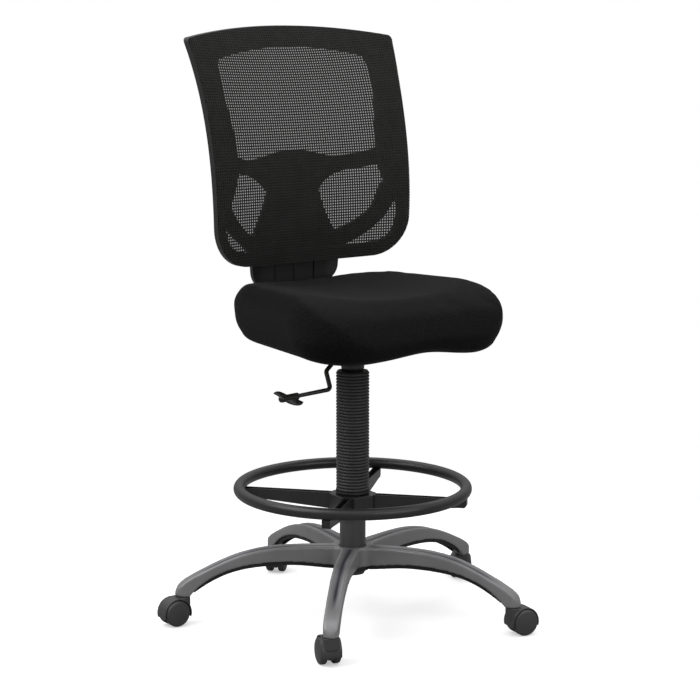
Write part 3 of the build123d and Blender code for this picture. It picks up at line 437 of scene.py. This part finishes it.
# ------------------------------------------------------------ five-arm base
arm_heading = -43.7
arm_ways = [Vector((math.sin(math.radians(arm_heading + 72 * i)),
                    -math.cos(math.radians(arm_heading + 72 * i)), 0)) for i in range(5)]


def ease(value, low, high):
    """0 below low, 1 above high and a soft step between."""
    share = max(0.0, min(1.0, (value - low) / (high - low)))
    return share * share * (3 - 2 * share)


def remeshed(node, name, voxel, relax, *backing):
    """A copy of a solid as an even skin, with its corners worn round."""
    piece = copy_of(node, name)
    if backing:
        take(piece)
        for extra in backing:
            extra.select_set(True)
        bpy.ops.object.join()
    remesh = piece.modifiers.new("remesh", "REMESH")
    remesh.mode = "VOXEL"
    remesh.voxel_size = voxel
    soften = piece.modifiers.new("soften", "SMOOTH")
    soften.factor = 0.5
    soften.iterations = relax
    apply_modifiers(piece)
    smooth(piece, 180)
    return piece


def along_and_across(point):
    """How far a point lies along the nearest arm, and beside its middle line."""
    way = max(arm_ways, key=lambda w: point.x * w.x + point.y * w.y)
    return point.x * way.x + point.y * way.y, point.y * way.x - point.x * way.y


# a tube fills the corners between the arms, so that they run into each other in a hollow curve
crotch = turned("crotch", [(32.6 * MM, 95 * MM), (38.5 * MM, 95 * MM), (38.5 * MM, 134 * MM),
                           (32.6 * MM, 134 * MM)])
base_shell = remeshed("base_star", "base_shell", 2.4 * MM, 3, crotch)
groove_depth = 3.2
groove_half_width = 5.6
rim_height = 0.7
rim_offset = 11.5
rim_half_width = 2.6
# the groove's depth also marks where the arm paint gets painted shade
groove_shade_mark = base_shell.data.attributes.new("groove_and_shade", "FLOAT", "POINT")
lift_of = [vertex.normal.z for vertex in base_shell.data.vertices]
for vertex, lift in zip(base_shell.data.vertices, lift_of):
    along, across = along_and_across(vertex.co)
    facing_up = ease(lift, 0.25, 0.6)
    reach = ease(along, 22 * MM, 40 * MM) * (1 - ease(along, 262 * MM, 315 * MM))
    beside = abs(across) / MM
    groove_and_shade = math.exp(-(beside / groove_half_width) ** 2) * facing_up * reach
    rim = math.exp(-((beside - rim_offset) / rim_half_width) ** 2) * facing_up * reach
    vertex.co.z += (rim_height * rim - groove_depth * groove_and_shade) * MM
    groove_shade_mark.data[vertex.index].value = groove_and_shade
finished(base_shell, "base", "arm_paint", arm_paint, "base_star")

# ------------------------------------------------------------ casters
hood_middle = 6.5 * MM
hood_rounding = 3.4 * MM
for number in range(1, 6):
    stem_low, stem_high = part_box(f"caster_stem_{number}")
    axle_low, axle_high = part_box(f"caster_axle_{number}")
    axle = (axle_low + axle_high) / 2
    trail = axle - (stem_low + stem_high) / 2
    trail.z = 0
    trail.normalize()
    side = Vector((-trail.y, trail.x, 0))
    hood = remeshed(f"caster_hood_{number}", f"caster_cover_{number}", 0.9 * MM, 3)
    for vertex in hood.data.vertices:
        from_axle = vertex.co - axle
        out = from_axle.dot(side)
        ahead = from_axle.dot(trail)
        ring = math.hypot(ahead, from_axle.z)
        if abs(out) > hood_middle:
            worn = ease(ring, 16 * MM, 30 * MM) * ease(abs(out), 7 * MM, 19 * MM)
            worn *= ease(ahead, -16 * MM, -4 * MM)
            vertex.co -= side * math.copysign(hood_rounding * worn, out)
    finished(hood, f"caster_{number}", "caster_plastic", caster_plastic, f"caster_hood_{number}")
    for letter in "ab":
        node = f"caster_wheel_{letter}_{number}"
        wheel = copy_of(node, f"caster_roller_{letter}_{number}")
        round_off = wheel.modifiers.new("round", "BEVEL")
        round_off.width = 0.7 * MM
        round_off.segments = 2
        round_off.angle_limit = math.radians(32)
        apply_modifiers(wheel)
        smooth(wheel, 35)
        finished(wheel, f"wheel_{letter}_{number}", "caster_plastic", caster_plastic, node)

# ------------------------------------------------------------ lever
rod = copy_of("lever_rod", "lever_bar")
thicken = rod.modifiers.new("thicken", "DISPLACE")
thicken.mid_level = 0
thicken.strength = 1.1 * MM
apply_modifiers(rod)
paddle = copy_of("lever_paddle", "lever_grip")
rod_low, rod_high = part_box("lever_rod")
way_out = Vector((-0.8, 0.6, -0.25)).normalized()
lever_shift = 7 * MM
for piece in (rod, paddle):
    for vertex in piece.data.vertices:
        outer = ease(-vertex.co.x, -rod_high.x + 60 * MM, -rod_low.x - 30 * MM)
        vertex.co += way_out * lever_shift * outer
smooth(rod, 60)
smooth(paddle, 40)
finished(rod, "lever", "dark_paint", grip_plastic, "lever_rod")
finished(paddle, "lever", "grip_plastic", grip_plastic, "lever_paddle")

# ------------------------------------------------------------ bellows
bellows_low, bellows_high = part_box("bellows")
pleat_count = 38
rib_radius = bellows_high.x - 0.1 * MM
rib_depth = 3.3 * MM
valley_radius = rib_radius - rib_depth
skin = 1.2 * MM


def bellows_line(offset):
    """Rounded ribs with narrow valleys, from the bottom to the top."""
    pitch = (bellows_high.z - bellows_low.z) / pleat_count
    points = []
    for i in range(pleat_count):
        for share in (0.0, 0.12, 0.27, 0.42, 0.58, 0.73, 0.88):
            swell = math.sin(math.pi * share) ** 0.55
            radius = valley_radius + rib_depth * swell
            points.append((radius - offset, bellows_low.z + (i + share) * pitch))
    points.append((valley_radius - offset, bellows_high.z))
    return points


lift_bellows = turned("lift_bellows", bellows_line(0) + bellows_line(skin)[::-1], 56)
smooth(lift_bellows, 60)
lift_bellows.data.materials.append(bellows_plastic)
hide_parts("bellows")
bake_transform(lift_bellows)

# ------------------------------------------------------------ mesh of the back
profile_centre_y = 0.855
profile_centre_z = 0.766
profile_radius = 0.74


def keep_front(piece):
    """Leave only the faces of a shell that look forward."""
    take(piece)
    bpy.ops.object.mode_set(mode="EDIT")
    bpy.ops.mesh.select_all(action="DESELECT")
    bpy.ops.object.mode_set(mode="OBJECT")
    centre = Vector((0, profile_centre_y, profile_centre_z))
    for face in piece.data.polygons:
        inward = centre - face.center
        inward.x = 0
        face.select = face.normal.dot(inward.normalized()) > -0.6
    bpy.ops.object.mode_set(mode="EDIT")
    bpy.ops.mesh.delete(type="FACE")
    bpy.ops.object.mode_set(mode="OBJECT")


back_cloth = copy_of("back_mesh", "back_cloth")
keep_front(back_cloth)
cloth_map = back_cloth.data.uv_layers.new(name="cloth")
for loop in back_cloth.data.loops:
    point = back_cloth.data.vertices[loop.vertex_index].co
    swing = math.atan2(point.z - profile_centre_z, profile_centre_y - point.y)
    cloth_map.data[loop.index].uv = (point.x, swing * profile_radius)
thicken = back_cloth.modifiers.new("thickness", "SOLIDIFY")
thicken.thickness = 0.8 * MM
thicken.offset = -1
apply_modifiers(back_cloth)
smooth(back_cloth, 50)
finished(back_cloth, "back", "mesh_fabric", mesh_fabric, "back_mesh")

# ------------------------------------------------------------ seat cushion
def padded_cover(node, name, shrink, voxel, pressure, most):
    """Blow a shrunken copy of a solid up as cloth held along its underside, and smooth it."""
    piece = copy_of(node, name)
    reduce = piece.modifiers.new("shrink", "DISPLACE")
    reduce.mid_level = 0
    reduce.strength = -shrink
    remesh = piece.modifiers.new("remesh", "REMESH")
    remesh.mode = "VOXEL"
    remesh.voxel_size = voxel
    apply_modifiers(piece)
    rest = [vertex.co.copy() for vertex in piece.data.vertices]
    floor_of = min(place.z for place in rest)
    held = piece.vertex_groups.new(name="held")
    held.add([i for i, place in enumerate(rest) if place.z < floor_of + 16 * MM], 1.0, "REPLACE")
    cloth = piece.modifiers.new("cloth", "CLOTH")
    cloth.settings.vertex_group_mass = "held"
    cloth.settings.tension_stiffness = 5
    cloth.settings.compression_stiffness = 5
    cloth.settings.use_pressure = True
    cloth.settings.uniform_pressure_force = pressure
    cloth.settings.effector_weights.gravity = 0
    scene = bpy.context.scene
    scene.frame_start, scene.frame_end = 1, 20
    for number in range(1, 21):
        scene.frame_set(number)
    posed = piece.evaluated_get(bpy.context.evaluated_depsgraph_get())
    moved = [vertex.co.copy() for vertex in posed.data.vertices]
    piece.modifiers.clear()
    for vertex, start, end in zip(piece.data.vertices, rest, moved):
        way = end - start
        vertex.co = start + way * (min(way.length, most) / max(way.length, 1e-9))
    piece.vertex_groups.clear()
    scene.frame_set(1)
    relax = piece.modifiers.new("relax", "SMOOTH")
    relax.factor = 0.5
    relax.iterations = 4
    apply_modifiers(piece)
    divide = piece.modifiers.new("divide", "SUBSURF")
    divide.levels = divide.render_levels = 1
    apply_modifiers(piece)
    smooth(piece, 180)
    return piece


seat_pad = padded_cover("seat_cushion", "seat_pad", -1 * MM, 6 * MM, 12.0, 3 * MM)
seat_low, seat_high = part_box("seat_cushion")
# shaping of the pad in millimetres; the underside is not the same left and right
arch_rise = 12          # lift of the underside's middle in front
arch_middle = 25 * MM   # off centre, towards +X
hang_right = 5          # drop of the front underside on the sitter's right
hang_more = 5           # further drop on the sitter's left
corner_drop = 2
dish_depth = 6
rear_rise = 2.5
side_swell = 4
top_draw = 3
shoulder_swell = 4
front_swell = 6
for vertex in seat_pad.data.vertices:
    place = vertex.co
    wide = abs(place.x)
    forward = ease(-place.y, 90 * MM, 200 * MM)
    outer = ease(wide, 90 * MM, 230 * MM)
    low = 1 - ease(place.z, seat_low.z, seat_low.z + 60 * MM)
    high = ease(place.z, seat_high.z - 75 * MM, seat_high.z - 5 * MM)
    middle = math.exp(-((place.z - seat_low.z - 45 * MM) / (30 * MM)) ** 2)
    arch = math.exp(-((place.x - arch_middle) / (80 * MM)) ** 2)
    hollow = (1 - ease(wide, 30 * MM, 175 * MM)) * (1 - ease(abs(place.y), 90 * MM, 170 * MM))
    hang = hang_right + hang_more * ease(place.x, -100 * MM, 100 * MM)
    rise = (arch_rise * arch - hang) * forward * low
    rise -= corner_drop * forward * outer * high + dish_depth * hollow * high
    rise += rear_rise * high * (1 - forward)
    place.z += rise * MM
    shoulder = math.exp(-((place.z - seat_high.z + 32 * MM) / (16 * MM)) ** 2)
    aside = (side_swell * middle - top_draw * high) * forward
    aside += shoulder_swell * shoulder * (1 - 0.7 * forward)
    place.x += math.copysign(aside, place.x) * outer * MM
    front = ease(-place.y, 150 * MM, 225 * MM)
    place.y -= front_swell * shoulder * (1 - outer) * front * MM
relax = seat_pad.modifiers.new("relax", "SMOOTH")
relax.factor = 0.5
relax.iterations = 16
apply_modifiers(seat_pad)
smooth(seat_pad, 180)
finished(seat_pad, "seat", "seat_fabric", seat_fabric, "seat_cushion")

# ------------------------------------------------------------ floor, light and background
bpy.ops.mesh.primitive_plane_add(size=40, location=(0, 0, -0.0005))
floor = bpy.context.object
floor.name = floor.data.name = "floor"
floor_paint, tree, shader, place = new_material("floor_paint")
shader.inputs["Base Color"].default_value = (0.9, 0.9, 0.9, 1)
shader.inputs["Roughness"].default_value = 0.9
shader.inputs["Specular IOR Level"].default_value = 0.0
bounce = tree.nodes.new("ShaderNodeBsdfDiffuse")
bounce.inputs["Color"].default_value = (0.3, 0.3, 0.3, 1)
light_path = tree.nodes.new("ShaderNodeLightPath")
glow = tree.nodes.new("ShaderNodeEmission")
glow.inputs["Strength"].default_value = 0.42
both = tree.nodes.new("ShaderNodeAddShader")
seen = tree.nodes.new("ShaderNodeMixShader")
backdrop = tree.nodes.new("ShaderNodeEmission")
distance = tree.nodes.new("ShaderNodeVectorMath")
distance.operation = "LENGTH"
tree.links.new(place.outputs["Object"], distance.inputs[0])
fade = tree.nodes.new("ShaderNodeMapRange")
fade.interpolation_type = "SMOOTHSTEP"
fade.inputs["From Min"].default_value = 0.5
fade.inputs["From Max"].default_value = 1.3
tree.links.new(distance.outputs["Value"], fade.inputs["Value"])
near = tree.nodes.new("ShaderNodeMixShader")
tree.links.new(shader.outputs[0], both.inputs[0])
tree.links.new(glow.outputs[0], both.inputs[1])
tree.links.new(fade.outputs["Result"], near.inputs[0])
tree.links.new(both.outputs[0], near.inputs[1])
tree.links.new(backdrop.outputs[0], near.inputs[2])
tree.links.new(light_path.outputs["Is Camera Ray"], seen.inputs[0])
tree.links.new(bounce.outputs[0], seen.inputs[1])
tree.links.new(near.outputs[0], seen.inputs[2])
tree.links.new(seen.outputs[0], tree.nodes["Material Output"].inputs["Surface"])
floor.data.materials.append(floor_paint)

world = bpy.context.scene.world or bpy.data.worlds.new("room")
bpy.context.scene.world = world
world.use_nodes = True
tree = world.node_tree
tree.nodes.clear()
light_path = tree.nodes.new("ShaderNodeLightPath")
soft = tree.nodes.new("ShaderNodeBackground")
soft.inputs["Color"].default_value = (1, 1, 1, 1)
sky_way = tree.nodes.new("ShaderNodeTexCoord")
sky_split = tree.nodes.new("ShaderNodeSeparateXYZ")
tree.links.new(sky_way.outputs["Generated"], sky_split.inputs[0])
sky = tree.nodes.new("ShaderNodeMapRange")
sky.interpolation_type = "SMOOTHSTEP"
sky.inputs["From Min"].default_value = 0.0
sky.inputs["From Max"].default_value = 0.9
sky.inputs["To Min"].default_value = 0.25
sky.inputs["To Max"].default_value = 0.85
tree.links.new(sky_split.outputs["Z"], sky.inputs["Value"])
tree.links.new(sky.outputs["Result"], soft.inputs["Strength"])
white = tree.nodes.new("ShaderNodeBackground")
white.inputs["Color"].default_value = (1, 1, 1, 1)
white.inputs["Strength"].default_value = 1.0
pick = tree.nodes.new("ShaderNodeMixShader")
end = tree.nodes.new("ShaderNodeOutputWorld")
tree.links.new(light_path.outputs["Is Camera Ray"], pick.inputs[0])
tree.links.new(soft.outputs[0], pick.inputs[1])
tree.links.new(white.outputs[0], pick.inputs[2])
tree.links.new(pick.outputs[0], end.inputs["Surface"])


def softbox(name, place, aim, size, power):
    """A rectangular lamp at a place, turned to a point."""
    bpy.ops.object.light_add(type="AREA", location=place)
    lamp = bpy.context.object
    lamp.name = name
    lamp.data.shape = "RECTANGLE"
    lamp.data.size, lamp.data.size_y = size
    lamp.data.energy = power
    way = Vector(aim) - Vector(place)
    lamp.rotation_euler = way.to_track_quat("-Z", "Y").to_euler()


softbox("key_light", (-2.4, 0.6, 2.7), (0, 0, 0.6), (2.6, 2.6), 48)
softbox("fill_light", (0.4, -3.4, 1.6), (0, 0, 0.4), (2.6, 1.8), 24)
softbox("top_light", (0.3, 0.9, 3.4), (0, 0, 0.4), (4.4, 4.4), 32)
